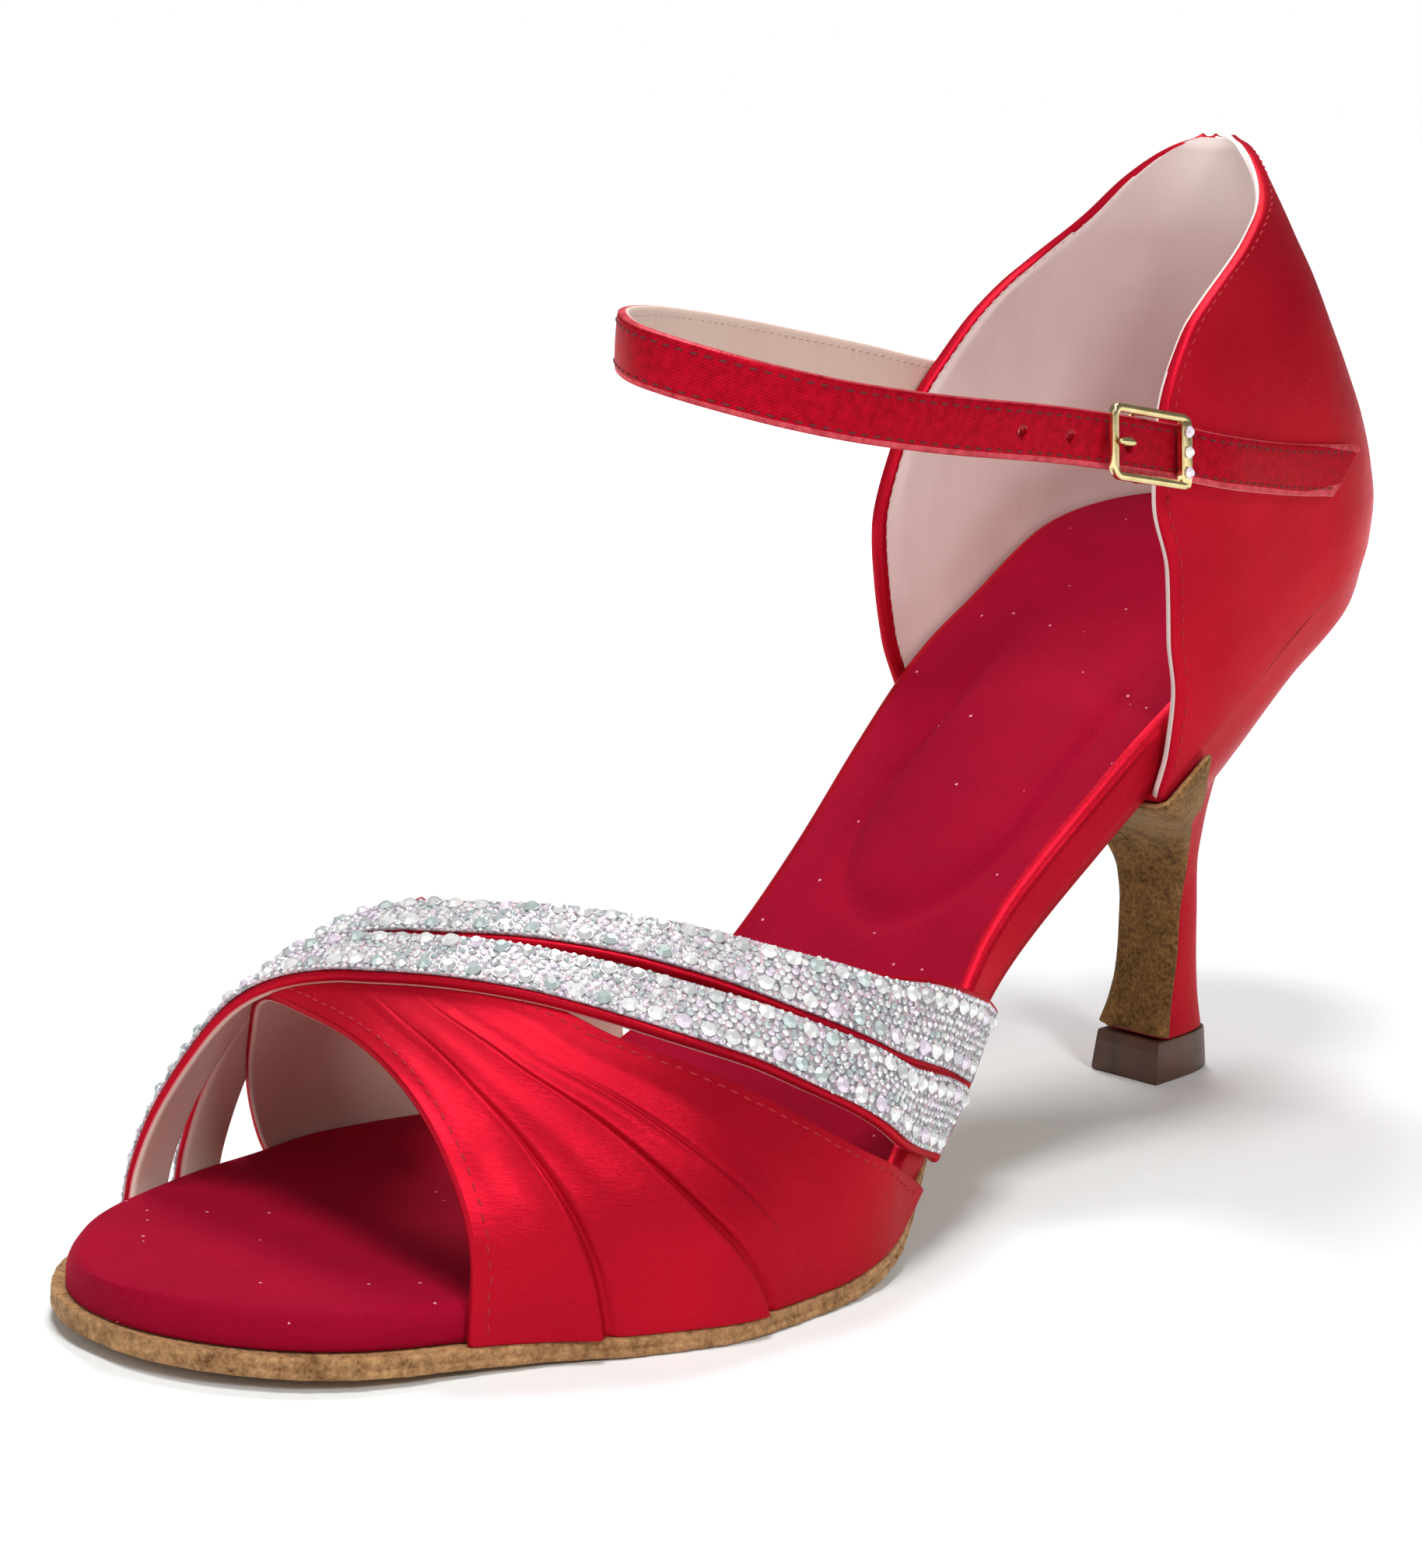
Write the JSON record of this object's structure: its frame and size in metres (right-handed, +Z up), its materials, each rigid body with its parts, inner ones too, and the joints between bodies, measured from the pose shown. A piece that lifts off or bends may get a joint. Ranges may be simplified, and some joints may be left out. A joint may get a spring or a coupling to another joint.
{
  "type": "ballroom dance sandal",
  "caption": "Open-toed satin dance sandal with a slim flared heel, a pleated front band crossed by two stone-trimmed straps, a closed heel cup and a buckled ankle strap.",
  "frame": {"origin": "on the floor, in the middle of the heel top piece's underside", "axes": "+Z up, the toe points to -Y and +X is the outer side of a left foot"},
  "size_m": [0.0847, 0.2284, 0.1425],
  "materials": {
    "satin": "satin sheen",
    "sock": "matt lining",
    "suede": "napped",
    "cover_suede": "napped",
    "tip": "matt",
    "stones": "faceted stones on a tape",
    "gold": "pale gold plating",
    "crystal": "cut and polished"
  },
  "bodies": {
    "root": {"outsole": "suede", "insole": "sock", "heel": "satin", "heel_cover": "cover_suede", "top_piece": "tip", "counter": "satin", "upper": "satin", "trim_front": "stones", "trim_rear": "stones", "ankle_strap": "satin", "buckle": "gold", "prong": "gold", "buckle_tab": "satin", "buckle_crystal_1": "crystal", "buckle_crystal_2": "crystal", "buckle_crystal_3": "crystal"}
  },
  "joints": []
}
